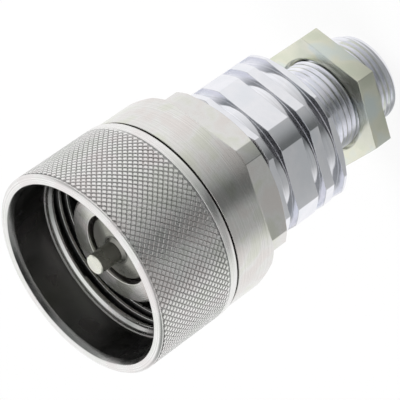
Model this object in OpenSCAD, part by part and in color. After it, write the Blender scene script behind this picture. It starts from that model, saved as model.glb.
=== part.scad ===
// Screw-to-connect quick coupling half with a poppet valve and a bulkhead tube port.
// It stands on the tail end of its stud, with the knurled sleeve's mouth up.
// Depths are counted down from the mouth and heights up from the tail, both along Z.

/* [Knurled sleeve] */
// Diameter over the knurl
sleeve_d = 67; // [65.5:0.5:74]
// Length of the sleeve
sleeve_len = 32.2; // [28:0.1:40]
// Bevel of the mouth's outer edge and of the rear edge
sleeve_bevel = 0.6; // [0.3:0.1:0.8]
// Diameter where the flat rim meets the lead-in
rim_d = 61; // [60.4:0.1:61.6]
// Depth of the lead-in cone
lead_in_len = 2.2; // [1:0.1:4]
// Diameter of the smooth mouth bore
mouth_d = 59.6; // [59:0.1:60.2]
// Diameter of the short step in front of the thread
step_d = 58.4; // [57.6:0.1:58.8]
// Length of that step
step_len = 0.9; // [0.5:0.1:1.5]
// Diameter over the crests of the inside thread
crest_d = 56.4; // [54:0.1:57]
// Radial height of the inside thread
thread_h = 1.4; // [0.8:0.1:1.5]
// Pitch of the inside thread
thread_pitch = 3; // [2:0.5:3]
// Number of thread ridges
thread_ridges = 3; // [2:1:3]
// Length of the relief between the thread and the rear lip
relief_room = 3.3; // [2.2:0.1:4]
// Length of the rear lip that runs on the plug body
lip_len = 3.7; // [2.5:0.1:4.5]
// Diamonds round the knurl
knurl_count = 72; // [36:4:90]
// Depth of the knurl
knurl_h = 0.5; // [0.2:0.05:0.7]
// Plain length in front of the knurl
knurl_front = 1.4; // [1:0.1:4]
// Plain length behind the knurl
knurl_rear = 3.9; // [2:0.1:8]

/* [Plug body] */
// Diameter of the nose
nose_d = 36.6; // [36:0.1:39]
// Length of the nose down to the floor of the ring-shaped gap
nose_len = 9.7; // [9:0.1:10.5]
// Bevel of the nose's outer edge
nose_bevel = 0.8; // [0.3:0.1:1.5]
// Diameter of the nose's opening
opening_d = 23.4; // [23:0.1:24]
// Straight length of the opening in front of the valve seat
opening_len = 2.2; // [1.5:0.1:2.6]
// Diameter of the valve chamber inside the nose
chamber_d = 28; // [27.8:0.1:28.6]
// Diameter of the wide flow chamber behind it
flow_d = 33; // [32:0.1:34]
// Diameter of the journal that the sleeve turns on
journal_d = 48; // [46:0.1:50]
// Length of the journal in front of the sleeve's retaining ring
journal_front = 2; // [1:0.1:3]
// Diameter of the marking ring
ring_d = 66; // [64.5:0.1:67]
// Length of the marking ring
ring_len = 14.9; // [13:0.1:18]
// Visible gap between the sleeve and the marking ring
ring_gap = 0.5; // [0.3:0.1:0.8]
// Size across the flats of the body's hexagon
body_af = 55; // [54:0.5:56]
// Diameter to which the hexagon's corners are turned
body_turned_d = 60.8; // [58:0.1:65]
// Length of the turned shoulder between the ring and the hexagon
shoulder_len = 2; // [1:0.1:3]
// Length of the hexagon
body_hex_len = 8.3; // [6.5:0.1:14]
// Angle that the body's hexagon ends up turned to the adapter's when screwed home
body_turn = 3.6; // [0:0.1:30]
// How far the milled flats run out into the marking ring
flat_runout = 4.1; // [2:0.1:6]

/* [Valve] */
// Diameter of the pin
pin_d = 6.6; // [5:0.1:7.6]
// How far the pin stands proud of the nose
pin_reach = 8.7; // [5:0.1:11]
// Diameter of the disc at the pin's foot
disc_d = 21.2; // [20:0.1:22]
// Depth of the disc's rim below the nose's front face
disc_recess = 1.1; // [0.6:0.1:1.6]
// Thickness of the disc at its rim
disc_len = 1.8; // [1.2:0.1:2]
// Thickness of the valve seal
seal_len = 1.6; // [1:0.1:2]
// Length of the poppet's head behind the seal
head_len = 4.5; // [3:0.1:5]
// Diameter of the poppet's stem
stem_d = 8; // [6:0.1:9]
// Travel of the valve
valve_travel = 7; // [5:0.1:7.5]
// Wire diameter of the valve spring
wire_d = 1.8; // [1.2:0.1:2]
// Mean diameter of the valve spring
spring_d = 17.2; // [16.6:0.1:18.4]
// Turns of the valve spring
spring_turns = 5; // [3:0.5:5]
// Thickness of the valve guide's plate
guide_len = 4; // [3:0.1:5]
// Flow holes in the valve guide
guide_holes = 6; // [4:1:6]
// Diameter of the guide's flow holes
guide_hole_d = 7.2; // [4:0.1:7.6]

/* [Bulkhead adapter] */
// Size across the flats of the adapter's hexagon
adapter_af = 50; // [48:0.5:51]
// Diameter to which its corners are turned
adapter_turned_d = 54; // [53:0.1:55]
// Diameter of the floor of its three grooves
groove_d = 48.8; // [44:0.1:49.4]
// Length of the front band
band_1 = 3.3; // [2:0.1:5]
// Length of the wrench band
band_2 = 8.8; // [5:0.1:14]
// Length of the third band
band_3 = 3.7; // [2:0.1:8]
// Length of the rear band
band_4 = 2.5; // [1.5:0.1:6]
// Width of the front groove
groove_1 = 3.6; // [1.5:0.1:5]
// Width of the middle groove
groove_2 = 3.4; // [1.5:0.1:5]
// Width of the rear groove
groove_3 = 4.4; // [1.5:0.1:6]
// Diameter of the screwed boss inside the plug body
boss_d = 40; // [39:0.1:41]
// Length of the screwed boss
boss_len = 7.8; // [7.4:0.1:8.2]
// Outside diameter of the stud
stud_d = 30; // [28:0.5:32]
// Pitch of the stud's thread
stud_pitch = 2; // [1.5:0.5:3]
// Length of the stud behind the hexagon
stud_len = 35.9; // [33:0.1:50]
// Diameter of the relief between the stud and the hexagon
relief_d = 27; // [26:0.1:27.6]
// Length of that relief
relief_len = 2.4; // [1:0.1:4]
// Diameter of the tube socket
socket_d = 22.1; // [20:0.1:23]
// Straight length of the tube socket
socket_len = 7.5; // [5:0.1:10]
// Diameter of the cone at the tail end
cone_d = 25; // [24.4:0.1:25.6]
// Diameter of the flow bore
bore_d = 19; // [16:0.1:19.4]

/* [Lock nut] */
// Size across the flats of the lock nut
nut_af = 41; // [40:0.5:46]
// Thickness of the lock nut
nut_len = 6.9; // [5:0.1:9]
// Height of the nut above the tail end
nut_height = 12.8; // [4:0.1:17]
// Diameter of the countersink at the nut's threaded hole
nut_sink_d = 32.6; // [32.4:0.1:34]

/* [Rings and seals] */
// Thickness of the sleeve's retaining ring
keeper_len = 1.7; // [1:0.1:1.8]
// Outside diameter of the sleeve's retaining ring
keeper_d = 52.4; // [51:0.1:53]
// Depth of the groove that holds it
keeper_groove = 1.2; // [0.8:0.1:1.6]
// Section of the nose's seal ring
nose_ring_d = 2.6; // [2:0.1:2.8]
// Section of the adapter's seal ring
port_ring_d = 2.6; // [2:0.1:2.8]
// Thickness of the back-up rings
backup_len = 1.1; // [0.8:0.1:1.3]
// Thickness of the guide's snap ring
snap_len = 1.5; // [1:0.1:1.8]
// Opening angle of the split rings
split_angle = 14; // [8:1:24]
// Where the sleeve's retaining ring is split
keeper_turn = 150; // [0:5:355]
// Where the guide's snap ring is split
snap_turn = 30; // [0:5:355]

/* [Clearances] */
// Radial clearance of a running fit
run_fit = 0.05; // [0.02:0.01:0.08]
// Gap between the shut valve and its seat
seat_gap = 0.3; // [0.3:0.05:0.4]
// End play of the sleeve and of rings in their grooves
end_play = 0.3; // [0.3:0.05:0.4]
// Room between the guide's snap ring and the adapter's boss
boss_room = 2.6; // [2:0.1:4]
// Room between the end of the poppet's stem and the adapter's boss
stem_room = 1.8; // [1:0.1:1.9]
// Radial room round the poppet's head in its chamber
head_room = 0.8; // [0.5:0.1:1.2]
// Radial room between the spring and the hubs inside it
hub_room = 0.4; // [0.3:0.1:0.6]

/* [Hidden] */
$fn = 96;
// How far a cutter reaches past what it cuts
over = 1;

// Break of a small sharp edge
edge_bevel = 0.3;
// Width of a ridge's crest in the sleeve's thread
ridge_len = 0.8;
// Depth of the stud's thread and width of its crests, as shares of its pitch
stud_thread_share = 0.55;
stud_crest_share = 0.15;

// Stations, counted as depths below the mouth
lip_depth = sleeve_len - lip_len;
thread_end_depth = lip_depth - relief_room;
crest_depth = thread_end_depth - thread_ridges * thread_pitch;
mouth_len = crest_depth - step_len - (step_d - crest_d) / 2;
keeper_depth = lip_depth - end_play - keeper_len;
floor_depth = keeper_depth - journal_front;
nose_depth = floor_depth - nose_len;
ring_depth = sleeve_len + ring_gap;
shoulder_depth = ring_depth + ring_len;
hex_depth = shoulder_depth + shoulder_len;
body_end_depth = hex_depth + body_hex_len;
boss_depth = body_end_depth - boss_len;
disc_depth = nose_depth + disc_recess;
seal_depth = disc_depth + disc_len;
head_depth = seal_depth + seal_len;
head_end_depth = head_depth + head_len;
snap_depth = boss_depth - boss_room - snap_len;
guide_depth = snap_depth - guide_len;
stem_end_depth = boss_depth - stem_room;
// The spring fills what is left between the poppet's head and the guide
spring_len = guide_depth - head_end_depth;
seat_depth = nose_depth + opening_len;
chamber_depth = seat_depth + (chamber_d - opening_d) / 2;
// The flow chamber starts to widen where the open valve's head has cleared the seat
widening_lead = 2.3;
widening_depth = head_depth + valve_travel - widening_lead;
widening_len = (flow_d - chamber_d) / 2;
adapter_hex_len = band_1 + groove_1 + band_2 + groove_2 + band_3 + groove_3 + band_4;
// Overall length from the tail end to the mouth
total_len = body_end_depth + adapter_hex_len + stud_len;

// Sleeve: bore behind the thread, clear of the retaining ring
keeper_floor_r = journal_d / 2 - keeper_groove;
thread_root_d = crest_d + 2 * thread_h;
relief_r = max(thread_root_d / 2, keeper_d / 2 + 1);

// Guide and its snap ring: steps in the bore that they bear on
guide_seat = 1;
snap_bite = 1.3;
snap_width = 3.9;
snap_land = 1;
guide_r = flow_d / 2 + guide_seat;
snap_r = guide_r + snap_bite;
snap_inner_r = snap_r - snap_width;

// Hubs inside the spring, on the poppet's head and on the guide
hub_r = spring_d / 2 - wire_d / 2 - hub_room;
head_hub_len = 2;
hub_front_len = 2.5;
hub_rear_len = 1.4;

// Pin's tapped end in the poppet's head, and the seat of the seal round it
tap_r = pin_d / 2 - 0.4;
tap_len = 5;
tap_room = 1;
seal_seat_r = tap_r + 2;

// Funnel in the adapter's boss
funnel_d = 30;
funnel_len = 11;

// Seal rings: the share of the section that the groove leaves, and how far they stand proud
nose_squeeze = 0.82;
port_squeeze = 0.86;
nose_seal_proud = 0.2;
nose_groove_wall = 1.6;
port_groove_wall = 1;
nose_groove_depth = floor_depth - nose_groove_wall;
port_groove_depth = boss_depth + port_groove_wall;
nose_ring_floor_r = nose_d / 2 - nose_squeeze * nose_ring_d;
port_ring_floor_r = boss_d / 2 - port_squeeze * port_ring_d;
chamfer_30 = tan(30);

// Puts its children, drawn at z = 0, at a depth below the mouth
module at_depth(depth) {
  translate([0, 0, total_len - depth]) children();
}

// Revolves a closed profile of [radius, depth] points
module turned(profile) {
  rotate_extrude() polygon([for (p = profile) [p[0], total_len - p[1]]]);
}

// Ring of rectangular section between two depths
module plain_ring(inner_r, outer_r, from_depth, to_depth) {
  turned([[inner_r, from_depth], [outer_r, from_depth], [outer_r, to_depth], [inner_r, to_depth]]);
}

// Seal ring of round section, pressed flat where it meets its groove and its mate
module seal_ring(inner_r, outer_r, section_d, mid_depth) {
  mid_r = (inner_r + outer_r) / 2;
  at_depth(mid_depth) rotate_extrude() intersection() {
    translate([mid_r, 0]) circle(d = section_d, $fn = 32);
    translate([inner_r, -section_d]) square([outer_r - inner_r, 2 * section_d]);
  }
}

// Split that opens a ring, centred on the angle turn
module ring_split(radius, from_depth, to_depth, turn) {
  half = split_angle / 2;
  reach = 2 * radius;
  at_depth(to_depth) rotate(turn)
    linear_extrude(to_depth - from_depth)
      polygon([[0, 0], [reach * cos(half), -reach * sin(half)], [reach * cos(half), reach * sin(half)]]);
}

// Outer form of a hexagon with turned corners and bevelled faces, between two depths
module turned_hexagon(across_flats, turned_d, from_depth, to_depth, front_bevel, rear_bevel) {
  r = turned_d / 2;
  edge_r = across_flats / 2;
  edge = edge_r - edge_bevel;
  bevel = (r - edge) * chamfer_30;
  front = front_bevel ? [[edge, from_depth], [r, from_depth + bevel]] : [[r, from_depth]];
  rear = rear_bevel ? [[r, to_depth - bevel], [edge, to_depth]] : [[r, to_depth]];
  intersection() {
    turned(concat([[0, from_depth]], front, rear, [[0, to_depth]]));
    at_depth(to_depth + over)
      cylinder(r = edge_r / cos(30), h = to_depth - from_depth + 2 * over, $fn = 6);
  }
}

// Diamond knurl as a closed band: points stand proud on a lattice, and the grooves between
// them run both ways round the sleeve
module knurl_band(outer_r, depth, inner_r, from_depth, to_depth, count) {
  columns = 2 * count;
  half_pitch = 360 / columns;
  target = PI * outer_r / count;
  rows = 2 * round((to_depth - from_depth) / target / 2);
  row_len = (to_depth - from_depth) / rows;
  function lattice_r(i, j) =
    j == 0 || j == rows ? outer_r - depth : (i + j) % 2 == 0 ? outer_r : outer_r - depth;
  function lattice_point(i, j) =
    [lattice_r(i, j) * cos(i * half_pitch), lattice_r(i, j) * sin(i * half_pitch), j * row_len];
  outside = [for (j = [0:rows]) for (i = [0:columns - 1]) lattice_point(i, j)];
  inside = [
    for (z = [0, rows * row_len]) for (i = [0:columns - 1])
      [inner_r * cos(i * half_pitch), inner_r * sin(i * half_pitch), z]
  ];
  lower = len(outside);
  upper = lower + columns;
  function corner(i, j) = j * columns + i % columns;
  skin = [
    for (j = [0:rows - 1]) for (i = [0:columns - 1])
      let (a = corner(i, j), b = corner(i + 1, j), c = corner(i + 1, j + 1), d = corner(i, j + 1))
        each (i + j) % 2 == 0 ? [[a, c, b], [a, d, c]] : [[a, d, b], [b, d, c]]
  ];
  walls = [
    for (i = [0:columns - 1])
      let (k = (i + 1) % columns)
        each [
          [lower + i, upper + k, upper + i], [lower + i, lower + k, upper + k],
          [i, k, lower + k], [i, lower + k, lower + i],
          [corner(i, rows), upper + k, corner(i + 1, rows)], [corner(i, rows), upper + i, upper + k]
        ]
  ];
  at_depth(to_depth) polyhedron(concat(outside, inside), concat(skin, walls));
}

// Sleeve that draws the two coupling halves together
module knurled_sleeve() {
  outer_r = sleeve_d / 2;
  core_r = outer_r - knurl_h - 0.3;
  knurl_end = sleeve_len - knurl_rear;
  flank = thread_h * chamfer_30;
  color("silver") {
    difference() {
      turned([
        [journal_d / 2 + run_fit, sleeve_len], [outer_r - sleeve_bevel, sleeve_len],
        [outer_r, sleeve_len - sleeve_bevel], [outer_r, knurl_end + knurl_h], [core_r, knurl_end],
        [core_r, knurl_front], [outer_r, knurl_front - knurl_h], [outer_r, sleeve_bevel],
        [outer_r - sleeve_bevel, 0], [rim_d / 2, 0], [mouth_d / 2, lead_in_len],
        [mouth_d / 2, mouth_len], [step_d / 2, mouth_len], [step_d / 2, mouth_len + step_len],
        [crest_d / 2, crest_depth], [crest_d / 2, thread_end_depth],
        [relief_r, thread_end_depth + relief_r - crest_d / 2], [relief_r, lip_depth],
        [journal_d / 2 + run_fit, lip_depth]
      ]);
      for (i = [0:thread_ridges - 1]) {
        start = crest_depth + i * thread_pitch;
        end = start + thread_pitch - ridge_len;
        turned([
          [crest_d / 2 - over, start], [crest_d / 2, start], [thread_root_d / 2, start + flank],
          [thread_root_d / 2, end - flank], [crest_d / 2, end], [crest_d / 2 - over, end]
        ]);
      }
    }
    knurl_band(outer_r, knurl_h, core_r - 0.5, knurl_front, knurl_end, knurl_count);
  }
}

// Split ring in the journal's groove that keeps the sleeve on
module sleeve_retaining_ring() {
  color("gray") difference() {
    plain_ring(keeper_floor_r, keeper_d / 2, keeper_depth, keeper_depth + keeper_len);
    ring_split(keeper_d, keeper_depth - over, keeper_depth + keeper_len + over, keeper_turn);
  }
}

// Nose, sleeve journal, marking ring and wrench hexagon, turned and milled from one bar
module plug_body() {
  boss_bore_r = boss_d / 2;
  hex_edge_r = body_af / 2 - edge_bevel;
  snap_land_depth = snap_depth + snap_len + snap_land;
  color("lightgray") difference() {
    turned([
      [opening_d / 2, nose_depth], [nose_d / 2 - nose_bevel, nose_depth],
      [nose_d / 2, nose_depth + nose_bevel], [nose_d / 2, floor_depth], [journal_d / 2, floor_depth],
      [journal_d / 2, ring_depth], [ring_d / 2, ring_depth], [ring_d / 2, shoulder_depth],
      [body_turned_d / 2, hex_depth],
      [body_turned_d / 2, body_end_depth - (body_turned_d / 2 - hex_edge_r) * chamfer_30],
      [hex_edge_r, body_end_depth], [boss_bore_r, body_end_depth],
      [boss_bore_r, snap_land_depth], [guide_r, snap_land_depth],
      [guide_r, guide_depth], [flow_d / 2, guide_depth], [flow_d / 2, widening_depth + widening_len],
      [chamber_d / 2, widening_depth], [chamber_d / 2, chamber_depth], [opening_d / 2, seat_depth]
    ]);
    plain_ring(keeper_floor_r, journal_d / 2 + over, keeper_depth, lip_depth - end_play);
    plain_ring(
      nose_ring_floor_r, nose_d / 2 + over,
      nose_groove_depth - nose_ring_d - backup_len, nose_groove_depth
    );
    plain_ring(guide_r - over, snap_r, snap_depth, snap_depth + snap_len);
    body_flats();
  }
}

// The six flats, each with its sloping run-out into the marking ring
module body_flats() {
  reach = max(ring_d, body_turned_d) / 2 + over;
  slope = flat_runout / (ring_d / 2 - body_af / 2);
  for (side = [0:5])
    rotate(60 * side + 30 + body_turn)
      translate([0, reach, 0]) rotate([90, 0, 0])
        linear_extrude(2 * reach)
          polygon([for (p = [
            [body_af / 2, body_end_depth + over], [body_af / 2, hex_depth],
            [reach, hex_depth - slope * (reach - body_af / 2)], [reach, body_end_depth + over]
          ]) [p[0], total_len - p[1]]]);
}

module nose_seal_ring() {
  color("#1d1f22") seal_ring(
    nose_ring_floor_r, nose_d / 2 + nose_seal_proud, nose_ring_d,
    nose_groove_depth - backup_len - nose_ring_d / 2
  );
}

module nose_backup_ring() {
  color("ivory") plain_ring(
    nose_ring_floor_r, nose_d / 2 - run_fit, nose_groove_depth - backup_len, nose_groove_depth
  );
}

// Pin and disc that push the other half's valve open, screwed into the poppet's head
module valve_pin() {
  pin_r = pin_d / 2;
  pin_end = nose_depth - pin_reach;
  foot = 0.9;
  color("whitesmoke") turned([
    [0, pin_end], [pin_r - edge_bevel, pin_end], [pin_r, pin_end + edge_bevel],
    [pin_r, disc_depth - 2 * foot], [pin_r + foot, disc_depth - foot],
    [disc_d / 2 - edge_bevel, disc_depth], [disc_d / 2, disc_depth + edge_bevel],
    [disc_d / 2, seal_depth], [tap_r, seal_depth],
    [tap_r, seal_depth + tap_len], [0, seal_depth + tap_len]
  ]);
}

// Distance from the axis of a cone that stays clear of the valve seat
function seal_r(depth) = opening_d / 2 + (depth - seat_depth) - seat_gap * sqrt(2);

module valve_seal() {
  color("#1d1f22") turned([
    [seal_seat_r, seal_depth], [seal_r(seal_depth), seal_depth],
    [seal_r(head_depth), head_depth], [seal_seat_r, head_depth]
  ]);
}

// Head that carries the seal and the spring, with the stem that runs in the guide
module poppet_head() {
  stem_r = stem_d / 2;
  head_r = chamber_d / 2 - head_room;
  tip_bevel = 0.6;
  color("silver") difference() {
    turned([
      [0, seal_depth], [seal_seat_r, seal_depth], [seal_seat_r, head_depth],
      [min(seal_r(head_depth), head_r), head_depth], [head_r, head_depth + edge_bevel],
      [head_r, head_end_depth - 1], [head_r - 1, head_end_depth], [hub_r, head_end_depth],
      [hub_r, head_end_depth + head_hub_len], [stem_r, head_end_depth + head_hub_len],
      [stem_r, stem_end_depth - tip_bevel], [stem_r - tip_bevel, stem_end_depth],
      [0, stem_end_depth]
    ]);
    at_depth(seal_depth + tap_len + tap_room) cylinder(r = tap_r, h = tap_len + tap_room + over);
  }
}

// Coil spring swept along a helix, with its ends on the head and the guide
module valve_spring() {
  sides = 8;
  per_turn = 24;
  wire_r = wire_d / 2;
  coil_r = spring_d / 2;
  rise = spring_len - wire_d;
  steps = round(spring_turns * per_turn);
  // Height along the spring: the first and last turn lie nearly flat
  function lift(t) = rise * (t < 0.5 ? 2 * t * t : 1 - 2 * (1 - t) * (1 - t)) * 0.4 + rise * t * 0.6;
  points = [
    for (i = [0:steps]) let (a = 360 * i / per_turn, z = wire_r + lift(i / steps))
      for (k = [0:sides - 1]) let (w = 360 * k / sides, r = coil_r + wire_r * cos(w))
        [r * cos(a), r * sin(a), z + wire_r * sin(w)]
  ];
  faces = concat(
    [[for (k = [0:sides - 1]) k]],
    [for (i = [0:steps - 1]) for (k = [0:sides - 1])
      let (n = (k + 1) % sides) [i * sides + k, (i + 1) * sides + k, (i + 1) * sides + n, i * sides + n]],
    [[for (k = [sides - 1:-1:0]) steps * sides + k]]
  );
  color("dimgray") at_depth(guide_depth) polyhedron(points, faces, convexity = 6);
}

// Pierced plate that guides the stem and takes the spring's thrust
module valve_guide() {
  hole_ring_r = (hub_r + guide_r + hub_room) / 2;
  color("silver") difference() {
    turned([
      [0, guide_depth - hub_front_len], [hub_r, guide_depth - hub_front_len], [hub_r, guide_depth],
      [guide_r, guide_depth], [guide_r, snap_depth], [hub_r, snap_depth],
      [hub_r - edge_bevel, snap_depth + hub_rear_len], [0, snap_depth + hub_rear_len]
    ]);
    at_depth(snap_depth + hub_rear_len + over)
      cylinder(d = stem_d + 2 * run_fit, h = guide_len + hub_front_len + hub_rear_len + 2 * over);
    for (i = [0:guide_holes - 1])
      rotate(360 / guide_holes * i) translate([hole_ring_r, 0, 0])
        at_depth(snap_depth + over) cylinder(d = guide_hole_d, h = guide_len + 2 * over);
  }
}

module guide_snap_ring() {
  color("gray") difference() {
    plain_ring(snap_inner_r, snap_r, snap_depth, snap_depth + snap_len);
    ring_split(snap_r, snap_depth - over, snap_depth + snap_len + over, snap_turn);
  }
}

module port_seal_ring() {
  color("#1d1f22") seal_ring(
    port_ring_floor_r, boss_d / 2, port_ring_d, port_groove_depth + port_ring_d / 2
  );
}

module port_backup_ring() {
  from_depth = port_groove_depth + port_ring_d;
  color("ivory") plain_ring(port_ring_floor_r, boss_d / 2, from_depth, from_depth + backup_len);
}

// Depths at which the adapter's grooves start, with their widths
function grooves() = let (
    first = body_end_depth + band_1,
    second = first + groove_1 + band_2,
    third = second + groove_2 + band_3
  ) [[first, groove_1], [second, groove_2], [third, groove_3]];

// Outline of the stud's thread between two depths, drawn as rings one pitch apart
function stud_thread(from_depth, to_depth) = let (
    height = stud_thread_share * stud_pitch,
    crest = stud_crest_share * stud_pitch,
    flank = height * chamfer_30,
    stud_r = stud_d / 2,
    count = floor((to_depth - from_depth) / stud_pitch)
  ) [
    for (i = [0:count - 1]) let (start = from_depth + i * stud_pitch)
      each [
        [stud_r, start], [stud_r, start + crest], [stud_r - height, start + crest + flank],
        [stud_r - height, start + stud_pitch - flank]
      ],
    [stud_r, from_depth + count * stud_pitch]
  ];

// Screwed boss, grooved hexagon, stud and tube socket in one piece
module bulkhead_adapter() {
  hex_end = body_end_depth + adapter_hex_len;
  stud_r = stud_d / 2;
  thread_from = hex_end + relief_len + stud_r - relief_d / 2;
  bevel = 1;
  cone_angle = 12;
  cone_len = (cone_d - socket_d) / 2 / tan(cone_angle);
  boss_r = boss_d / 2;
  groove_end = port_groove_depth + port_ring_d + backup_len;
  color("#d9deea") difference() {
    union() {
      turned([
        [0, boss_depth], [boss_r - bevel, boss_depth], [boss_r, boss_depth + bevel * chamfer_30],
        [boss_r, body_end_depth], [0, body_end_depth]
      ]);
      turned_hexagon(adapter_af, adapter_turned_d, body_end_depth, hex_end, true, true);
      turned(concat(
        [[0, hex_end], [relief_d / 2, hex_end], [relief_d / 2, hex_end + relief_len]],
        stud_thread(thread_from, total_len - bevel),
        [[stud_r, total_len - bevel], [stud_r - bevel, total_len], [0, total_len]]
      ));
    }
    plain_ring(port_ring_floor_r, boss_r + over, port_groove_depth, groove_end);
    for (g = grooves())
      plain_ring(groove_d / 2, adapter_turned_d, g[0], g[0] + g[1]);
    turned([
      [0, boss_depth - over], [funnel_d / 2, boss_depth - over], [funnel_d / 2, boss_depth],
      [bore_d / 2, boss_depth + funnel_len], [bore_d / 2, total_len - cone_len - socket_len],
      [socket_d / 2, total_len - cone_len - socket_len], [socket_d / 2, total_len - cone_len],
      [cone_d / 2, total_len], [cone_d / 2, total_len + over], [0, total_len + over]
    ]);
  }
}

// Nut that clamps the adapter in a panel
module lock_nut() {
  nut_r = nut_af / 2 / cos(30);
  bore_r = stud_d / 2 + run_fit;
  sink = nut_sink_d / 2 - bore_r;
  color("#d8dcc0") difference() {
    translate([0, 0, nut_height]) cylinder(r = nut_r, h = nut_len, $fn = 6);
    translate([0, 0, nut_height - over]) cylinder(r = bore_r, h = nut_len + 2 * over);
    for (end = [0, 1])
      translate([0, 0, nut_height + end * nut_len]) mirror([0, 0, end])
        rotate_extrude() polygon([[0, -over], [bore_r + sink + over, -over], [0, bore_r + sink]]);
  }
}

knurled_sleeve();
sleeve_retaining_ring();
plug_body();
nose_seal_ring();
nose_backup_ring();
valve_pin();
valve_seal();
poppet_head();
valve_spring();
valve_guide();
guide_snap_ring();
port_seal_ring();
port_backup_ring();
bulkhead_adapter();
lock_nut();
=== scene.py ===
# %% [markdown]
# # A screw-to-connect coupling half in zinc-plated steel
# The real part is turned and milled from steel bar and then zinc plated. A knurled sleeve turns
# on a valved body, a grooved hexagon adapter is screwed into the body, and a lock nut sits on
# the adapter's threaded stud. The solids come in as a fixed frame. This lesson dresses
# them: it makes the fine knurl and the threads, breaks the sharp edges, and makes the platings.

# %% Load the frame
import math

import bmesh
import bpy
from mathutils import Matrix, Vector


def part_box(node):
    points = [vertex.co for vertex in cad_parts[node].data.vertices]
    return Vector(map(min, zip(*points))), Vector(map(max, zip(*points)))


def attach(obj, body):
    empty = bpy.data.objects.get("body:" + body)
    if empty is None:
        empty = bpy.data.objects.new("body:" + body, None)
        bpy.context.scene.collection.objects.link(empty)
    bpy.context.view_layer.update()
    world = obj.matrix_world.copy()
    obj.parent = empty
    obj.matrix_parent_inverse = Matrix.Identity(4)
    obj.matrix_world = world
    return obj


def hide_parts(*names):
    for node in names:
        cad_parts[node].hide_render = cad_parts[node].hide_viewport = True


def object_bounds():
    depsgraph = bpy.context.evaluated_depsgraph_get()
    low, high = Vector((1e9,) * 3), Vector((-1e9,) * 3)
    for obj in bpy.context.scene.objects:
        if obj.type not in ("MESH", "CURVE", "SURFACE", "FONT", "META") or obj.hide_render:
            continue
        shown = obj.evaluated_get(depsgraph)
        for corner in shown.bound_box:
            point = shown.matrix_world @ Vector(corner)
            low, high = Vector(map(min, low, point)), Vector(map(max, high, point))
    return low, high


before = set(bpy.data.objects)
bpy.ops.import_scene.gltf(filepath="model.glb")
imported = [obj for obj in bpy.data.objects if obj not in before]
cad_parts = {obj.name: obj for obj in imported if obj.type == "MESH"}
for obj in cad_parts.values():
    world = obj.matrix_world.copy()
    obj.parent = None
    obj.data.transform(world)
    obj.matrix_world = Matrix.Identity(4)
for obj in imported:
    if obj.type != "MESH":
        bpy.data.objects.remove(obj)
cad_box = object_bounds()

scene = bpy.context.scene
scene.view_settings.view_transform = "Standard"
tail_z, mouth_z = cad_box[0][2], cad_box[1][2]
print("height of the part:", round((mouth_z - tail_z) * 1000, 1), "mm")


# %% [markdown]
# ## Sizes
# A turned part is drawn by its stations: how far each shoulder lies below the mouth. These are
# the sizes that the visible pieces need, in millimetres. `at` turns a depth below the mouth
# into a height in metres, and `mm` turns a length into metres.

# %% Sizes of the turned pieces
def mm(length):
    return length / 1000


def at(depth):
    return mouth_z - mm(depth)


SLEEVE_R = 33.5  # over the knurl
RIM_R = 30.5  # mouth of the lead-in cone
MOUTH_R = 29.8  # smooth bore
STEP_R = 29.2  # ledge at the end of the smooth bore
CREST_R = 28.2  # inside thread, over its crests
ROOT_R = 29.6  # inside thread, at its root
LIP_R = 24.05  # lip that runs on the body's journal
SLEEVE_LEN = 32.2
LEAD_IN = 2.2  # depths below the mouth, from here to LIP_AT
MOUTH_END = 14.3
CREST_AT = 16.2
THREAD_END = 25.2
LIP_AT = 28.5
KNURL_FROM = 1.4
KNURL_TO = 28.3
KNURL_DEPTH = 0.4
SLEEVE_PITCH = 3.0
STUD_R = 15.0
STUD_ROOT_R = 13.8
STUD_PITCH = 2.0
THREADED_LEN = 33.5  # the stud, up to its undercut
sleeve_low, sleeve_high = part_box("knurled_sleeve")
print("sleeve:", [round((h - l) * 1000, 1) for l, h in zip(sleeve_low, sleeve_high)], "mm")


# %% [markdown]
# ## Camera
# A long lens looks down at the mouth from a little over half a metre up. The camera is rolled,
# so the coupling lies across the view from the lower left, mouth first, to the upper right.

# %% Camera
camera_data = bpy.data.cameras.new("camera")
camera_data.sensor_width = 36
camera_data.lens = 253.08
camera_data.clip_start, camera_data.clip_end = 0.05, 20
camera = bpy.data.objects.new("camera", camera_data)
scene.collection.objects.link(camera)
camera.location = (0.38286, -0.60797, 0.51295)
camera.rotation_euler = [math.radians(a) for a in (-43.5815, 44.0764, -111.4439)]
scene.camera = camera
print("camera", round(camera.location.length * 1000), "mm from the foot of the part")


# %% [markdown]
# ## Colours and nodes
# Colours are written as they look on a screen. One function turns them into the linear values
# that the shaders use, and one small function adds a node with its settings and links.

# %% Colour and node helpers
def colour(code):
    """The linear RGBA of an sRGB colour such as "#c9ccd1"."""
    parts = [int(code[i : i + 2], 16) / 255 for i in (1, 3, 5)]
    linear = [p / 12.92 if p <= 0.04045 else ((p + 0.055) / 1.055) ** 2.4 for p in parts]
    return (*linear, 1)


def add_node(tree, kind, links=None, **settings):
    """A node of that kind. links maps an input's name or number to a value or to an output."""
    node = tree.nodes.new(kind)
    for name, value in settings.items():
        setattr(node, name, value)
    for key, value in (links or {}).items():
        if isinstance(value, bpy.types.NodeSocket):
            tree.links.new(value, node.inputs[key])
        else:
            node.inputs[key].default_value = value
    return node


def empty_material(name):
    """A material whose node tree has nothing in it, and that tree."""
    material = bpy.data.materials.new(name)
    material.use_nodes = True
    material.node_tree.nodes.clear()
    return material, material.node_tree


def new_material(name):
    """A material, its tree, and the Principled shader on its output."""
    material, tree = empty_material(name)
    shader = add_node(tree, "ShaderNodeBsdfPrincipled")
    add_node(tree, "ShaderNodeOutputMaterial", {"Surface": shader.outputs["BSDF"]})
    return material, tree, shader


def maths(tree, operation, *values):
    """The output of one Math node."""
    return add_node(tree, "ShaderNodeMath", dict(enumerate(values)), operation=operation).outputs[0]


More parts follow.
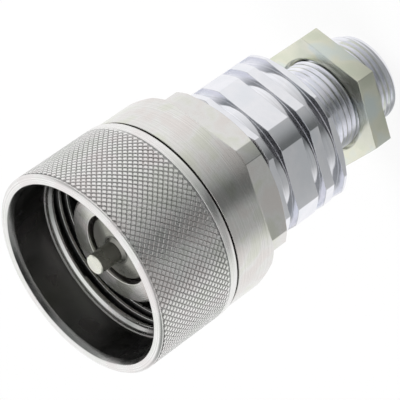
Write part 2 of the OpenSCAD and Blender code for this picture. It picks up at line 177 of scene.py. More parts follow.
def ramp(tree, factor, stops):
    """A colour ramp through (position, colour) stops."""
    node = add_node(tree, "ShaderNodeValToRGB", {"Fac": factor})
    band = node.color_ramp
    while len(band.elements) < len(stops):
        band.elements.new(0.5)
    for element, (position, shade) in zip(band.elements, stops):
        element.position, element.color = position, shade
    return node.outputs["Color"]


WHITE = colour("#ffffff")
print("helpers ready, white is", [round(c, 2) for c in WHITE])

# %% [markdown]
# ## Floor, light and reflections
# Polished metal shows what stands round it, so most of its look is the studio. The floor and
# the surroundings are white. The floor gives off most of its white itself, and only to rays
# that look at it, so it stays even and still takes a shadow.


# %% White floor that keeps the shadow
def looking(tree):
    """1 for a ray of the camera, a reflection or a clear surface, and 0 for stray light."""
    rays = add_node(tree, "ShaderNodeLightPath").outputs
    seen = maths(tree, "MAXIMUM", rays["Is Camera Ray"], rays["Is Glossy Ray"])
    return maths(tree, "MAXIMUM", seen, rays["Is Transmission Ray"])


def lit_floor(own_light=0.85):
    """White floor that gives off that share of its white to rays that look at it."""
    material, tree, shader = new_material("white studio floor")
    shader.inputs["Base Color"].default_value = WHITE
    shader.inputs["Roughness"].default_value = 0.9
    shader.inputs["Specular IOR Level"].default_value = 0.1
    glow = add_node(tree, "ShaderNodeEmission", {"Color": WHITE, "Strength": 1.0})
    share = maths(tree, "MULTIPLY", looking(tree), own_light)
    mix = add_node(
        tree, "ShaderNodeMixShader", {0: share, 1: shader.outputs["BSDF"], 2: glow.outputs[0]}
    )
    tree.links.new(mix.outputs[0], tree.nodes["Material Output"].inputs["Surface"])
    return material


def studio_card(name, verts, faces, material):
    """A card of the studio, which is no part of the coupling."""
    mesh = bpy.data.meshes.new(name)
    mesh.from_pydata(verts, [], faces)
    mesh.materials.append(material)
    card = bpy.data.objects.new(name, mesh)
    scene.collection.objects.link(card)
    return card


FLOOR_HALF = 3.0  # half its width, in metres
corners = ((-1, -1), (1, -1), (1, 1), (-1, 1))
floor = studio_card(
    "floor", [(x * FLOOR_HALF, y * FLOOR_HALF, tail_z) for x, y in corners], [(0, 1, 2, 3)],
    lit_floor(),
)
print("floor at", round(tail_z * 1000, 2), "mm,", 2 * FLOOR_HALF, "m wide")

# %% [markdown]
# ## Cards for the reflections
# In a white room plain metal turns white and loses its form. Three cards give it contrast, and
# only reflections see them: a ring on the floor, a small ring at the part's foot, and a band of
# a dome round the part. A turned face looks at a different compass angle from each of its
# points, so each card's tone goes round with that angle, and its cover fades at its rims.


# %% Graded cards that only reflections see
def around(azimuth, distance, height):
    """A point at that compass angle and distance from the part's axis."""
    a = math.radians(azimuth)
    return (distance * math.cos(a), distance * math.sin(a), height)


def graded_card(name, azimuth, stops, rows, segments=96):
    """A card turned round the part's axis, whose tone goes round with the compass angle.
    stops are (angle from that azimuth, tone) and rows are (distance, height, cover)."""
    material, tree = empty_material(name)
    place = add_node(tree, "ShaderNodeTexCoord").outputs["Object"]
    facing = add_node(
        tree, "ShaderNodeVectorRotate", {"Vector": place, "Angle": math.radians(-azimuth)},
        rotation_type="Z_AXIS",
    )
    split = add_node(tree, "ShaderNodeSeparateXYZ", {0: facing.outputs[0]})
    angle = maths(tree, "ARCTAN2", split.outputs[1], split.outputs[0])
    turn = maths(tree, "ADD", maths(tree, "DIVIDE", angle, 2 * math.pi), 0.5)
    tone = ramp(tree, turn, [(0.5 + a / 360, colour(t)) for a, t in stops])
    cover = add_node(tree, "ShaderNodeAttribute", attribute_name="cover").outputs["Fac"]
    glow = add_node(tree, "ShaderNodeEmission", {"Color": tone, "Strength": 1.0})
    clear = add_node(tree, "ShaderNodeBsdfTransparent")
    mix = add_node(
        tree, "ShaderNodeMixShader", {0: cover, 1: clear.outputs[0], 2: glow.outputs[0]}
    )
    add_node(tree, "ShaderNodeOutputMaterial", {"Surface": mix.outputs[0]})
    verts = [around(360 * i / segments, d, h) for d, h, _ in rows for i in range(segments)]
    faces = [
        (j * segments + i, j * segments + (i + 1) % segments,
         (j + 1) * segments + (i + 1) % segments, (j + 1) * segments + i)
        for j in range(len(rows) - 1) for i in range(segments)
    ]
    card = studio_card(name, verts, faces, material)
    covers = [c for _, _, c in rows for i in range(segments)]
    card.data.attributes.new("cover", "FLOAT", "POINT").data.foreach_set("value", covers)
    card.visible_camera = card.visible_diffuse = card.visible_shadow = False
    card.visible_transmission = card.visible_volume_scatter = False
    return card


def dome_rows(distance, elevations, middle=mm(60)):
    """Rows of a dome round the height `middle`, at those (elevation in degrees, cover) pairs."""
    rows = []
    for elevation, cover in elevations:
        e = math.radians(elevation)
        rows.append((distance * math.cos(e), distance * math.sin(e) + middle, cover))
    return rows


over_floor = tail_z + mm(1)
over_foot = tail_z + mm(2)
graded_card(
    "floor_card", -76,
    [(-78, "#ffffff"), (-60, "#eeeeed"), (-42, "#b0b1b0"), (-20, "#a6a8a7"), (-8, "#686a69"),
     (6, "#686a69"), (18, "#9fa1a0"), (38, "#cececd"), (62, "#f0f0ef"), (85, "#ffffff")],
    [(0.002, over_floor, 1), (0.35, over_floor, 1), (0.6, over_floor, 0)],
)
graded_card(
    "foot_card", -76,
    [(-75, "#ffffff"), (-45, "#a8aaaa"), (30, "#9c9e9e"), (60, "#c4c5c4"), (110, "#ffffff")],
    [(0.001, over_foot, 1), (0.03, over_foot, 0.7), (0.055, over_foot, 0)],
)
graded_card(
    "side_card", -78,
    [(-145, "#ffffff"), (-112, "#a0a2a1"), (-56, "#7d807f"), (-36, "#0a0b0b"), (30, "#0a0b0b"),
     (52, "#747776"), (108, "#8c8f8e"), (138, "#ffffff")],
    dome_rows(1.6, [(2, 0), (10, 1), (36, 1), (49, 0)]),
)

# %% [markdown]
# ## Surroundings and lamps
# The surroundings are full white where something looks at them and give a little less light.
# Two large soft lamps add the soft shadow. Reflections don't see the lamps, because a lamp
# seen in a groove is a hard white spot.

# %% Surroundings
SKY_LIGHT = 0.62  # strength as a light; what is seen has strength 1
world = bpy.data.worlds.new("studio")
scene.world = world
world.use_nodes = True
sky = world.node_tree
sky.nodes.clear()
strength = add_node(sky, "ShaderNodeMapRange", {0: looking(sky), 3: SKY_LIGHT, 4: 1.0})
studio = add_node(
    sky, "ShaderNodeBackground", {"Color": WHITE, "Strength": strength.outputs[0]}
)
add_node(sky, "ShaderNodeOutputWorld", {"Surface": studio.outputs[0]})
print("surroundings:", world.name, "lights with", SKY_LIGHT)


# %% Soft lamps
def soft_lamp(name, azimuth, distance, height, size, power):
    """A square soft box that looks at the middle of the part. Lengths are in metres."""
    data = bpy.data.lights.new(name, "AREA")
    data.shape, data.size, data.energy = "SQUARE", size, power
    lamp = bpy.data.objects.new(name, data)
    lamp.location = around(azimuth, distance, height)
    aim = Vector((0, 0, mouth_z / 2)) - lamp.location
    lamp.rotation_euler = aim.to_track_quat("-Z", "Y").to_euler()
    lamp.visible_glossy = False
    scene.collection.objects.link(lamp)
    return lamp


soft_lamp("key lamp", azimuth=40, distance=1.1, height=0.75, size=0.6, power=9)
soft_lamp("fill lamp", azimuth=-150, distance=1.1, height=0.6, size=0.6, power=5)


# %% [markdown]
# ## Plated steel
# Zinc plate is a bright metal. The thin passivate film on it is what gives the faint yellow,
# green and pink clouds, some millimetres across, and a bluish film has none of them. Under
# the plate are the marks of the lathe: fine rings at the feed of the tool, which spread a
# highlight along the turning and give it a grain. So each plating here mixes three tints
# with slow noise, takes its ring marks from the distance to the part's axis and the height,
# and is anisotropic round that axis where it was turned. In deep places, such as a bore, the
# floor of the knurl or the valve's recess, the plating's colour is darkened by a given tone:
# this is painted shade, placed by radius and depth. A milled hexagon has no ring marks, and
# that is a region of its own.

# %% Maker of the platings
MARK_SPACING = 0.35  # between tool marks, mm
MARK_HEIGHT = 0.012  # of a tool mark, mm
ROUND_THE_AXIS = 0.25  # a quarter turn, so that the grain follows the turning


def within(tree, value, low, high):
    """1 where the value lies between those two lengths in mm, and 0 elsewhere."""
    return maths(tree, "COMPARE", value, mm(low + high) / 2, mm(high - low) / 2)


def plating(name, tints, roughness, cloud=9, film=1.0, turned=0.5, shade_and_mark_places=()):
    """Zinc plate on steel. tints are the film's three colours, cloud their size in mm, film
    their contrast, and turned the anisotropy. Each place is (inner radius, outer radius, from
    depth, to depth, tone, marks), where the colour is darkened by that tone as painted shade
    and keeps that share of the tool marks."""
    material, tree, shader = new_material(name)
    shader.inputs["Metallic"].default_value = 1
    shader.inputs["Anisotropic"].default_value = turned
    shader.inputs["Anisotropic Rotation"].default_value = ROUND_THE_AXIS
    place = add_node(tree, "ShaderNodeTexCoord").outputs["Object"]
    split = add_node(tree, "ShaderNodeSeparateXYZ", {0: place})
    flat = add_node(tree, "ShaderNodeCombineXYZ", {0: split.outputs[0], 1: split.outputs[1]})
    length = add_node(tree, "ShaderNodeVectorMath", {0: flat.outputs[0]}, operation="LENGTH")
    out, height = length.outputs["Value"], split.outputs[2]
    tone, share = 1.0, 1.0
    # Each region darkens the colour by its tone: painted shade where shade falls in recesses. Its
    # last number keeps that share of the tool marks.
    for inner, outer, start, end, dark, cut in shade_and_mark_places:
        radius_fits = within(tree, out, inner, outer)
        height_fits = within(tree, height, at(end) * 1000, at(start) * 1000)
        here = maths(tree, "MULTIPLY", radius_fits, height_fits)
        painted_shade_factor = maths(tree, "MULTIPLY_ADD", here, dark - 1, 1.0)
        for_share = maths(tree, "MULTIPLY_ADD", here, cut - 1, 1.0)
        tone = maths(tree, "MULTIPLY", tone, painted_shade_factor)
        share = maths(tree, "MULTIPLY", share, for_share)
    clouds = add_node(
        tree, "ShaderNodeTexNoise", {"Vector": place, "Scale": 1000 / cloud, "Detail": 2.0}
    ).outputs["Fac"]
    edge = 0.2 / film
    spread = add_node(
        tree, "ShaderNodeMapRange", {0: clouds, 1: 0.5 - edge, 2: 0.5 + edge},
        interpolation_type="SMOOTHSTEP",
    ).outputs[0]
    shade = ramp(tree, spread, [(i / 2, colour(t)) for i, t in enumerate(tints)])
    rings = maths(tree, "MULTIPLY", maths(tree, "ADD", out, height), 1000 / MARK_SPACING)
    grain = add_node(
        tree, "ShaderNodeTexNoise", {"W": rings, "Scale": 1.0, "Detail": 2.0},
        noise_dimensions="1D",
    ).outputs["Fac"]
    grain = maths(tree, "MULTIPLY", maths(tree, "SUBTRACT", grain, 0.5), share)
    # The tool marks' grain, times the painted shade of the darkened regions.
    marks_and_painted_shade = maths(tree, "MULTIPLY", maths(tree, "MULTIPLY_ADD", grain, 0.3, 0.96), tone)
    mixed = add_node(
        tree, "ShaderNodeMix", {"Factor": 1.0, "A": shade, "B": marks_and_painted_shade},
        data_type="RGBA", blend_type="MULTIPLY",
    )
    tree.links.new(mixed.outputs["Result"], shader.inputs["Base Color"])
    rough = maths(tree, "MULTIPLY_ADD", spread, roughness * 0.3, roughness * 0.85)
    tree.links.new(rough, shader.inputs["Roughness"])
    bump = add_node(
        tree, "ShaderNodeBump", {"Height": grain, "Distance": mm(MARK_HEIGHT), "Strength": 0.8}
    )
    tree.links.new(bump.outputs["Normal"], shader.inputs["Normal"])
    if turned:
        tangent = add_node(tree, "ShaderNodeTangent", direction_type="RADIAL", axis="Z")
        tree.links.new(tangent.outputs[0], shader.inputs["Tangent"])
    return material


print("tool marks every", MARK_SPACING, "mm")

# %% Platings of the coupling's pieces
sleeve_zinc = plating(
    "zinc plate, clear film, turned", ("#eaebe7", "#f1f0ef", "#eeeae9"), 0.25,
    # Painted shade: the lead-in cone, the mouth bore, the thread's flanks and root and the floor of
    # the knurl are darkened by their tones. The knurl's floor also has no tool marks.
    shade_and_mark_places=(
        (29.2, 30.45, 0.1, LEAD_IN, 0.7, 1.0),  # lead-in cone
        (29.3, 29.9, LEAD_IN, MOUTH_END - 0.1, 0.2, 1.0),  # mouth bore
        (28.35, 29.8, CREST_AT + 0.5, LIP_AT + 0.1, 0.1, 1.0),  # thread's flanks and root
        (32.0, 33.2, KNURL_FROM, KNURL_TO, 0.55, 0.0),  # floor of the knurl
    ),
)
body_zinc = plating(
    "zinc plate, yellow and green film", ("#dfe0d6", "#e6e5e3", "#e4dfdc"), 0.22, cloud=8,
    film=1.2, shade_and_mark_places=((24.0, 34.0, 48.0, 58.0, 1.0, 0.0),),  # hexagon
)
bright_zinc = plating(
    "zinc plate, blue bright film", ("#eef0f6", "#f5f5fa", "#eff0f6"), 0.14, cloud=10,
    shade_and_mark_places=((24.6, 34.0, 57.0, 88.0, 1.0, 0.0),),  # hexagon
)
nut_zinc = plating(
    "zinc plate, pale green film, milled", ("#dfe3d0", "#eaead9", "#e0e9e6"), 0.22, cloud=11,
    turned=0, shade_and_mark_places=((0.0, 34.0, 60.0, 130.0, 1.0, 0.1),),  # the whole nut
)
valve_zinc = plating(
    "zinc plate, valve pieces", ("#e6e6da", "#eaeadf", "#e6e4dc"), 0.28, turned=0.8,
    # Painted shade: the side of the pin and the disc at the bottom of the nose's recess are
    # darkened by their tones.
    shade_and_mark_places=(
        (0.0, 4.8, 6.6, 16.5, 0.45, 1.0),  # side of the pin
        (3.4, 11.0, 15.0, 19.0, 0.4, 1.0),  # disc
    ),
)
spring_metal = plating("drawn spring steel", ("#8b8d8f", "#96989a", "#8e8e8c"), 0.35, turned=0)
print("platings:", len([m for m in bpy.data.materials if m.name.startswith("zinc")]))

# %% [markdown]
# ## Seal rubber and back-up plastic
# The seals are moulded nitrile rubber, near black and matt with a soft sheen. The back-up
# rings are turned PTFE, off-white and waxy. Both are mostly hidden, so they get a quiet finish.


# %% Rubber and plastic
def soft_finish(name, shade, roughness, grain_mm):
    """Rubber or plastic of that colour, with a faint grain of that size."""
    material, tree, shader = new_material(name)
    place = add_node(tree, "ShaderNodeTexCoord").outputs["Object"]
    grain = add_node(
        tree, "ShaderNodeTexNoise", {"Vector": place, "Scale": 1000 / grain_mm, "Detail": 3.0}
    ).outputs["Fac"]
    dark, pale = ([c * k for c in colour(shade)[:3]] + [1] for k in (0.8, 1.15))
    tree.links.new(ramp(tree, grain, [(0.3, dark), (0.7, pale)]), shader.inputs["Base Color"])
    shader.inputs["Roughness"].default_value = roughness
    bump = add_node(tree, "ShaderNodeBump", {"Height": grain, "Distance": mm(0.02)})
    tree.links.new(bump.outputs["Normal"], shader.inputs["Normal"])
    return material


nitrile = soft_finish("nitrile rubber, moulded", "#241e1c", 0.55, 0.6)
ptfe = soft_finish("PTFE, turned", "#e9e4d6", 0.4, 0.8)
print("soft finishes:", nitrile.name, "and", ptfe.name)


# %% [markdown]
# ## The sleeve's turned form
# A lathe makes a form by moving one outline round an axis, and so does this helper: it takes
# a closed outline of radius and depth, breaks each corner as the maker's file would, and
# spins it. Spinning code-made points needs no modifier and gives clean rows of quads.

# %% Lathe helper
def broken_corners(outline, size):
    """The outline with each corner rounded over that size, in mm."""
    soft = []
    for i, here in enumerate(outline):
        before, after = Vector(outline[i - 1]), Vector(outline[(i + 1) % len(outline)])
        here = Vector(here)
        cut = min(size, (before - here).length * 0.4, (after - here).length * 0.4)
        start = here + (before - here).normalized() * cut
        end = here + (after - here).normalized() * cut
        for t in (0, 0.5, 1):
            soft.append(start * (1 - t) ** 2 + here * 2 * t * (1 - t) + end * t * t)
    return soft


def face_outwards(made, smooth_below=30):
    """Turns the faces outwards, and shades smooth where the form bends less than that angle."""
    build = bmesh.new()
    build.from_mesh(made.data)
    bmesh.ops.recalc_face_normals(build, faces=build.faces)
    build.to_mesh(made.data)
    build.free()
    made.data.shade_smooth()
    made.data.set_sharp_from_angle(angle=math.radians(smooth_below))


def lathe(name, outline, columns=240, corner=0.25):
    """A closed turned mesh from an outline of (radius, depth) in mm."""
    ring = broken_corners(outline, corner)
    verts, faces = [], []
    for i in range(columns):
        a = 2 * math.pi * i / columns
        verts += [(mm(r) * math.cos(a), mm(r) * math.sin(a), at(d)) for r, d in ring]
    n = len(ring)
    for i in range(columns):
        k = (i + 1) % columns
        faces += [
            (i * n + j, k * n + j, k * n + (j + 1) % n, i * n + (j + 1) % n) for j in range(n)
        ]
    mesh = bpy.data.meshes.new(name)
    mesh.from_pydata(verts, [], faces)
    made = bpy.data.objects.new(name, mesh)
    scene.collection.objects.link(made)
    face_outwards(made)
    return made


print("lathe ready")

# %% [markdown]
# The outline runs down the outside and comes back up the bore: rim, lead-in cone, smooth
# mouth, step, thread root, relief and the lip that runs on the body's journal. Where the
# knurl goes, the outside is cut down to the floor of the knurl. The thread's ridge follows
# later: only the bevelled ledge in front of it is in this outline.

# %% Sleeve
KNURL_FLOOR = SLEEVE_R - KNURL_DEPTH
sleeve = lathe(
    "sleeve_shell",
    [
        (LIP_R, SLEEVE_LEN), (SLEEVE_R - 0.9, SLEEVE_LEN), (SLEEVE_R - 0.5, SLEEVE_LEN - 0.2),
        (SLEEVE_R, SLEEVE_LEN - 1.5),
        (SLEEVE_R, KNURL_TO + 0.5), (KNURL_FLOOR, KNURL_TO), (KNURL_FLOOR, KNURL_FROM),
        (SLEEVE_R, KNURL_FROM - 0.5), (SLEEVE_R, 0.6), (SLEEVE_R - 0.6, 0), (RIM_R, 0),
        (MOUTH_R, LEAD_IN), (MOUTH_R, MOUTH_END), (STEP_R, MOUTH_END), (STEP_R, MOUTH_END + 0.9),
        (CREST_R, CREST_AT), (CREST_R, CREST_AT + 0.5), (ROOT_R, CREST_AT + 1.2),
        (ROOT_R, LIP_AT), (LIP_R, LIP_AT),
    ],
)
sleeve.data.materials.append(sleeve_zinc)
print("sleeve_shell:", len(sleeve.data.polygons), "faces")

# %% [markdown]
# ## Diamond knurl
# Two crossed knurling wheels press helical grooves both ways round the sleeve and leave rows
# of small pyramids, each row half a step on from the last. That is one shape repeated about
# 2,600 times by a rule, which is what Geometry Nodes do best: a node tree lays the points out
# on a cylinder from their number alone and stands a four-sided tooth on each.


# %% Node tree helper
def node_tree(name, inputs):
    """A Geometry Nodes tree with named inputs. Returns the tree, its input node and the
    identifier of each input's socket."""
    tree = bpy.data.node_groups.new(name, "GeometryNodeTree")
    tree.interface.new_socket("Geometry", in_out="OUTPUT", socket_type="NodeSocketGeometry")
    keys = {}
    for label, kind in inputs.items():
        socket = tree.interface.new_socket(
            label, in_out="INPUT", socket_type="NodeSocket" + kind
        )
        keys[label] = socket.identifier
    return tree, tree.nodes.new("NodeGroupInput"), keys


def close_tree(tree, geometry, material):
    """Realize Instances and Set Material at the end, then the tree's output."""
    real = add_node(tree, "GeometryNodeRealizeInstances", {0: geometry})
    named = add_node(
        tree, "GeometryNodeSetMaterial", {"Geometry": real.outputs[0], "Material": material}
    )
    add_node(tree, "NodeGroupOutput", {0: named.outputs[0]})


def grown(name, tree, keys, values):
    """The tree's result with those input values, as a plain mesh object."""
    host = bpy.data.objects.new(name + " host", bpy.data.meshes.new(name + " host"))
    scene.collection.objects.link(host)
    modifier = host.modifiers.new("tree", "NODES")
    modifier.node_group = tree
    for label, value in values.items():
        modifier[keys[label]] = value
    depsgraph = bpy.context.evaluated_depsgraph_get()
    mesh = bpy.data.meshes.new_from_object(host.evaluated_get(depsgraph), depsgraph=depsgraph)
    bpy.data.objects.remove(host)
    mesh.name = name
    made = bpy.data.objects.new(name, mesh)
    scene.collection.objects.link(made)
    return made


print("node tree helpers ready")

# %% Knurl tree
TEETH_ROUND = 100
TOOTH_ROWS = 26
TOOTH_SUNK = 0.02  # how far a tooth's foot is sunk in the sleeve, mm
MOST_WORN = 0.93  # height of the most worn tooth, as a share


def knurl_tree():
    """The tree of the knurl: four-sided teeth in crossed rows round a cylinder."""
    tree, given, keys = node_tree(
        "diamond knurl",
        {
            "Teeth round": "Int", "Rows": "Int", "Floor radius": "Float", "Row step": "Float",
            "First row": "Float", "Tooth height": "Float", "Tip share": "Float", "Seed": "Int",
        },
    )
    put = given.outputs
    number = add_node(tree, "GeometryNodeInputIndex").outputs[0]
    row = maths(tree, "FLOOR", maths(tree, "DIVIDE", number, put["Teeth round"]))
    column = maths(tree, "MODULO", number, put["Teeth round"])
    shift = maths(tree, "MULTIPLY", maths(tree, "MODULO", row, 2.0), 0.5)
    step = maths(tree, "DIVIDE", 2 * math.pi, put["Teeth round"])
    angle = maths(tree, "MULTIPLY", maths(tree, "ADD", column, shift), step)
    height = maths(tree, "ADD", put["First row"], maths(tree, "MULTIPLY", row, put["Row step"]))
    middle = maths(
        tree, "ADD", put["Floor radius"], maths(tree, "MULTIPLY", put["Tooth height"], 0.5)
    )
    x = maths(tree, "MULTIPLY", middle, maths(tree, "COSINE", angle))
    y = maths(tree, "MULTIPLY", middle, maths(tree, "SINE", angle))
    spots = add_node(
        tree, "GeometryNodePoints",
        {
            "Count": maths(tree, "MULTIPLY", put["Teeth round"], put["Rows"]),
            "Position": add_node(tree, "ShaderNodeCombineXYZ", {0: x, 1: y, 2: height}).outputs[0],
        },
    )
    half_wide = maths(
        tree, "MULTIPLY", maths(tree, "MULTIPLY", put["Floor radius"], step), 0.5
    )
    tooth = add_node(
        tree, "GeometryNodeMeshCone",
        {
            "Vertices": 4, "Radius Bottom": half_wide,
            "Radius Top": maths(tree, "MULTIPLY", half_wide, put["Tip share"]),
            "Depth": put["Tooth height"],
        },
        fill_type="NGON",
    )
    centred = add_node(
        tree, "GeometryNodeTransform",
        {
            0: tooth.outputs["Mesh"],
            "Translation": add_node(
                tree, "ShaderNodeCombineXYZ",
                {2: maths(tree, "MULTIPLY", put["Tooth height"], -0.5)},
            ).outputs[0],
        },
    )
    lean = add_node(tree, "ShaderNodeCombineXYZ", {1: math.pi / 2, 2: angle})
    turn = add_node(tree, "FunctionNodeEulerToRotation", {0: lean.outputs[0]})
    wear = add_node(
        tree, "FunctionNodeRandomValue",
        {2: MOST_WORN, 3: 1.0, "Seed": put["Seed"]}, data_type="FLOAT",
    )
    tall = maths(tree, "DIVIDE", put["Row step"], half_wide)
    scale = add_node(
        tree, "ShaderNodeCombineXYZ", {0: tall, 1: 1.0, 2: wear.outputs[1]}
    )
    teeth = add_node(
        tree, "GeometryNodeInstanceOnPoints",
        {
            "Points": spots.outputs[0], "Instance": centred.outputs[0],
            "Rotation": turn.outputs[0], "Scale": scale.outputs[0],
        },
    )
    close_tree(tree, teeth.outputs[0], sleeve_zinc)
    return tree, keys


print("knurl tree:", TEETH_ROUND, "teeth round,", TOOTH_ROWS, "rows")

# %% Knurl
row_step = (KNURL_TO - KNURL_FROM) / TOOTH_ROWS
knurl, knurl_keys = knurl_tree()
knurl_teeth = grown(
    "sleeve_knurl", knurl, knurl_keys,
    {
        "Teeth round": TEETH_ROUND, "Rows": TOOTH_ROWS,
        "Floor radius": mm(KNURL_FLOOR - TOOTH_SUNK),
        "Row step": mm(row_step), "First row": at(KNURL_TO - row_step / 2),
        "Tooth height": mm(KNURL_DEPTH), "Tip share": 0.6, "Seed": 4,
    },
)
reach = max(math.hypot(v.co.x, v.co.y) for v in knurl_teeth.data.vertices)
print("sleeve_knurl:", len(knurl_teeth.data.polygons), "faces, out to", round(reach * 1000, 2))

# %% [markdown]
# ## Threads
# A thread is a ridge swept along a helix, so one tree serves the sleeve's inside thread and
# the stud's outside thread. It sweeps a trapezium along a spiral and lets the ridge run out
# at both ends, as a tool does when it leaves the cut. The ridge's foot is sunk in the wall.


# %% Thread tree
def thread_tree():
    """The tree of a thread: a trapezium swept along a helix, thinner at both ends."""
    tree, given, keys = node_tree(
        "screw thread",
        {
            "Radius": "Float", "Pitch": "Float", "Turns": "Float", "Start": "Float",
            "Foot width": "Float", "Crest width": "Float", "Ridge height": "Float",
            "Run-out": "Float", "Outwards": "Float", "Steps a turn": "Int", "Material": "Material",
        },
    )
    put = given.outputs
    helix = add_node(
        tree, "GeometryNodeCurveSpiral",
        {
            "Resolution": put["Steps a turn"], "Rotations": put["Turns"],
            "Start Radius": put["Radius"], "End Radius": put["Radius"],
            "Height": maths(tree, "MULTIPLY", put["Pitch"], put["Turns"]),
        },
    )
    level = add_node(tree, "GeometryNodeSetCurveNormal", {0: helix.outputs[0]}, mode="Z_UP")
    share = add_node(tree, "GeometryNodeSplineParameter").outputs["Factor"]
    ends = maths(
        tree, "DIVIDE", maths(tree, "MINIMUM", share, maths(tree, "SUBTRACT", 1.0, share)),
        put["Run-out"],
    )
    swell = maths(tree, "MINIMUM", maths(tree, "ADD", ends, 0.05), 1.0)
    profile = add_node(
        tree, "GeometryNodeCurvePrimitiveQuadrilateral",
        {
            "Height": put["Ridge height"], "Bottom Width": put["Foot width"],
            "Top Width": put["Crest width"], "Offset": 0.0,
        },
        mode="TRAPEZOID",
    )
    lifted = add_node(
        tree, "GeometryNodeTransform",
        {
            0: profile.outputs[0],
            "Translation": add_node(
                tree, "ShaderNodeCombineXYZ",
                {1: maths(tree, "MULTIPLY", put["Ridge height"], 0.5)},
            ).outputs[0],
        },
    )
    spin = add_node(
        tree, "ShaderNodeCombineXYZ", {2: maths(tree, "MULTIPLY", put["Outwards"], math.pi / 2)}
    )
    turned = add_node(
        tree, "GeometryNodeTransform", {0: lifted.outputs[0], "Rotation": spin.outputs[0]}
    )
    ridge = add_node(
        tree, "GeometryNodeCurveToMesh",
        {
            "Curve": level.outputs[0], "Profile Curve": turned.outputs[0], "Scale": swell,
            "Fill Caps": True,
        },
    )
    placed = add_node(
        tree, "GeometryNodeTransform",
        {
            0: ridge.outputs[0],
            "Translation": add_node(tree, "ShaderNodeCombineXYZ", {2: put["Start"]}).outputs[0],
        },
    )
    close_tree(tree, placed.outputs[0], put["Material"])
    return tree, keys


print("thread tree ready")

# %% Sleeve's thread and stud's thread
INWARDS = -1.0
OUTWARDS = 1.0
thread, thread_keys = thread_tree()
sleeve_thread = grown(
    "sleeve_thread", thread, thread_keys,
    {
        "Radius": mm(ROOT_R + 0.06), "Pitch": mm(SLEEVE_PITCH), "Turns": 2.75,
        "Start": at(THREAD_END - 0.3), "Foot width": mm(2.5), "Crest width": mm(0.8),
        "Ridge height": mm(ROOT_R - CREST_R), "Run-out": 0.04, "Outwards": INWARDS,
        "Steps a turn": 120, "Material": sleeve_zinc,
    },
)
stud_thread = grown(
    "stud_thread", thread, thread_keys,
    {
        "Radius": mm(STUD_ROOT_R - 0.05), "Pitch": mm(STUD_PITCH), "Turns": 15.7,
        "Start": tail_z + mm(1.0), "Foot width": mm(1.85), "Crest width": mm(0.3),
        "Ridge height": mm(STUD_R - STUD_ROOT_R), "Run-out": 0.02, "Outwards": OUTWARDS,
        "Steps a turn": 96, "Material": bright_zinc,
    },
)
for ridge in (sleeve_thread, stud_thread):
    face_outwards(ridge)
    radii = [math.hypot(v.co.x, v.co.y) * 1000 for v in ridge.data.vertices]
    heights = [v.co.z * 1000 for v in ridge.data.vertices]
    print(ridge.name, "radius", round(min(radii), 2), "to", round(max(radii), 2), "mm")
    print(ridge.name, "height", round(min(heights), 2), "to", round(max(heights), 2), "mm")

# %% [markdown]
# ## Milled pieces with broken edges
# The body, the adapter and the nut have their true shape already, but a machined edge is
# never razor sharp: it is broken by a fraction of a millimetre and catches a line of light.
# A copy of the solid's mesh is welded, its flat faces are joined, and a narrow bevel goes
# round every edge that turns by more than the angle given. The adapter's stud is first turned
# down to the root of its thread, so that the swept ridge can stand on it.


# %% Edge breaking
def plain_mesh(made, name):
    """The object's evaluated form as a plain mesh object of that name; the object goes."""
    depsgraph = bpy.context.evaluated_depsgraph_get()
    mesh = bpy.data.meshes.new_from_object(made.evaluated_get(depsgraph), depsgraph=depsgraph)
    bpy.data.objects.remove(made)
    mesh.name = name
    piece = bpy.data.objects.new(name, mesh)
    scene.collection.objects.link(piece)
    return piece


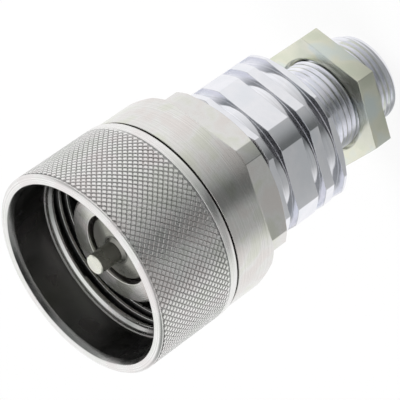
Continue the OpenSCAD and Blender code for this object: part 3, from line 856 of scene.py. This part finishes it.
def edge_broken(node, name, width, material, sharper_than=14, root_below=None):
    """A copy of a CAD node with its edges broken by that width, in mm. Below the height
    root_below it is turned down to the root of the stud's thread."""
    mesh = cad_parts[node].data.copy()
    build = bmesh.new()
    build.from_mesh(mesh)
    bmesh.ops.remove_doubles(build, verts=build.verts, dist=1e-6)
    for vertex in build.verts:
        out = math.hypot(vertex.co.x, vertex.co.y)
        if root_below is not None and vertex.co.z < root_below and out > mm(STUD_ROOT_R):
            squeeze = mm(STUD_ROOT_R) / out
            vertex.co.x *= squeeze
            vertex.co.y *= squeeze
    bmesh.ops.dissolve_limit(
        build, angle_limit=math.radians(0.2), verts=build.verts, edges=build.edges
    )
    build.to_mesh(mesh)
    build.free()
    if "custom_normal" in mesh.attributes:
        mesh.attributes.remove(mesh.attributes["custom_normal"])
    mesh.materials.clear()
    mesh.materials.append(material)
    mesh.shade_smooth()
    mesh.set_sharp_from_angle(angle=math.radians(sharper_than))
    host = bpy.data.objects.new(name + " host", mesh)
    scene.collection.objects.link(host)
    bevel = host.modifiers.new("broken edge", "BEVEL")
    bevel.width, bevel.segments, bevel.limit_method = mm(width), 2, "ANGLE"
    bevel.angle_limit = math.radians(sharper_than)
    bevel.use_clamp_overlap = False
    bevel.harden_normals = True
    return plain_mesh(host, name)


print("edge breaking ready")

# %% Body, adapter and nut
WIDE_BREAK = 0.2
FINE_BREAK = 0.15
body = edge_broken("plug_body", "body_broken_edges", WIDE_BREAK, body_zinc)
adapter = edge_broken(
    "bulkhead_adapter", "adapter_broken_edges", FINE_BREAK, bright_zinc,
    root_below=tail_z + mm(THREADED_LEN),
)
nut = edge_broken("lock_nut", "lock_nut_broken_edges", WIDE_BREAK, nut_zinc)
for piece in (body, adapter, nut):
    print(piece.name, len(piece.data.polygons), "faces")

# %% [markdown]
# ## Pieces that keep their solid
# The valve, the rings, the guide and the spring are right as they are and only need their
# finish. Each one's material slots take the finish of its own kind.

# %% Finishes of the other pieces
FINISH = {
    "valve_pin": valve_zinc, "poppet_head": valve_zinc, "valve_guide": valve_zinc,
    "valve_spring": spring_metal, "sleeve_retaining_ring": spring_metal,
    "guide_snap_ring": spring_metal, "nose_seal_ring": nitrile, "valve_seal": nitrile,
    "port_seal_ring": nitrile, "nose_backup_ring": ptfe, "port_backup_ring": ptfe,
}
for name, finish in FINISH.items():
    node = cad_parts[name]
    for place in node.material_slots:
        place.material = finish
print("finished:", ", ".join(FINISH))

# %% [markdown]
# ## Which body carries what
# Each made piece rides on the body of the solid that it stands for, so it turns, slides or
# stays with it. It is shown in place of that solid.

# %% Bodies and replaced solids
for piece, carrier, finish_slot in (
    (sleeve, "sleeve", "zinc_sleeve"), (knurl_teeth, "sleeve", "zinc_sleeve"),
    (sleeve_thread, "sleeve", "zinc_sleeve"), (body, "plug", "zinc_body"),
    (adapter, "plug", "bright_zinc_adapter"), (stud_thread, "plug", "bright_zinc_adapter"),
    (nut, "nut", "zinc_nut"),
):
    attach(piece, carrier)
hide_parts("knurled_sleeve")
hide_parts("plug_body")
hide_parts("bulkhead_adapter")
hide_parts("lock_nut")
print("pieces ride on sleeve, plug and nut")
